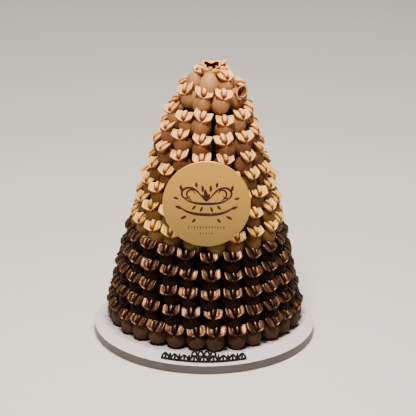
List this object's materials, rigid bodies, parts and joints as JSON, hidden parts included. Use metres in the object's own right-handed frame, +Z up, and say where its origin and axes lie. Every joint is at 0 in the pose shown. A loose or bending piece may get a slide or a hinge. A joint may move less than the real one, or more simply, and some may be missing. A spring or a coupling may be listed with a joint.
{
  "type": "chocolate pyramid",
  "caption": "Tall cone tower of pomegranate-shaped chocolates in dark, caramel and milk tiers, on a round white board with a plain gold disc leaning on its front.",
  "frame": {"origin": "middle of the board's underside", "axes": "+Z up, the front with the gold disc looks along -Y, +X to the right as seen from the front"},
  "size_m": [0.35, 0.359, 0.4502],
  "materials": {
    "board_white": "glossy white laminate over a grey-brown fibreboard edge",
    "black_acrylic": "glossy black",
    "gold": "satin gold-coloured",
    "dark_chocolate": "moulded dark chocolate, glossy",
    "caramel_chocolate": "moulded caramel chocolate, satin",
    "milk_chocolate": "moulded milk chocolate, satin"
  },
  "bodies": {
    "root": {"board": "board_white", "cresting": "black_acrylic", "gold_disc": "gold", "row_01_dark": "dark_chocolate", "row_02_dark": "dark_chocolate", "row_03_dark": "dark_chocolate", "row_04_dark": "dark_chocolate", "row_05_dark": "dark_chocolate", "row_06_caramel": "caramel_chocolate", "row_07_caramel": "caramel_chocolate", "row_08_caramel": "caramel_chocolate", "row_09_caramel": "caramel_chocolate", "row_10_milk": "milk_chocolate", "row_11_milk": "milk_chocolate", "row_12_milk": "milk_chocolate", "row_13_milk": "milk_chocolate", "row_14_milk": "milk_chocolate", "top_piece": "milk_chocolate"}
  },
  "joints": []
}
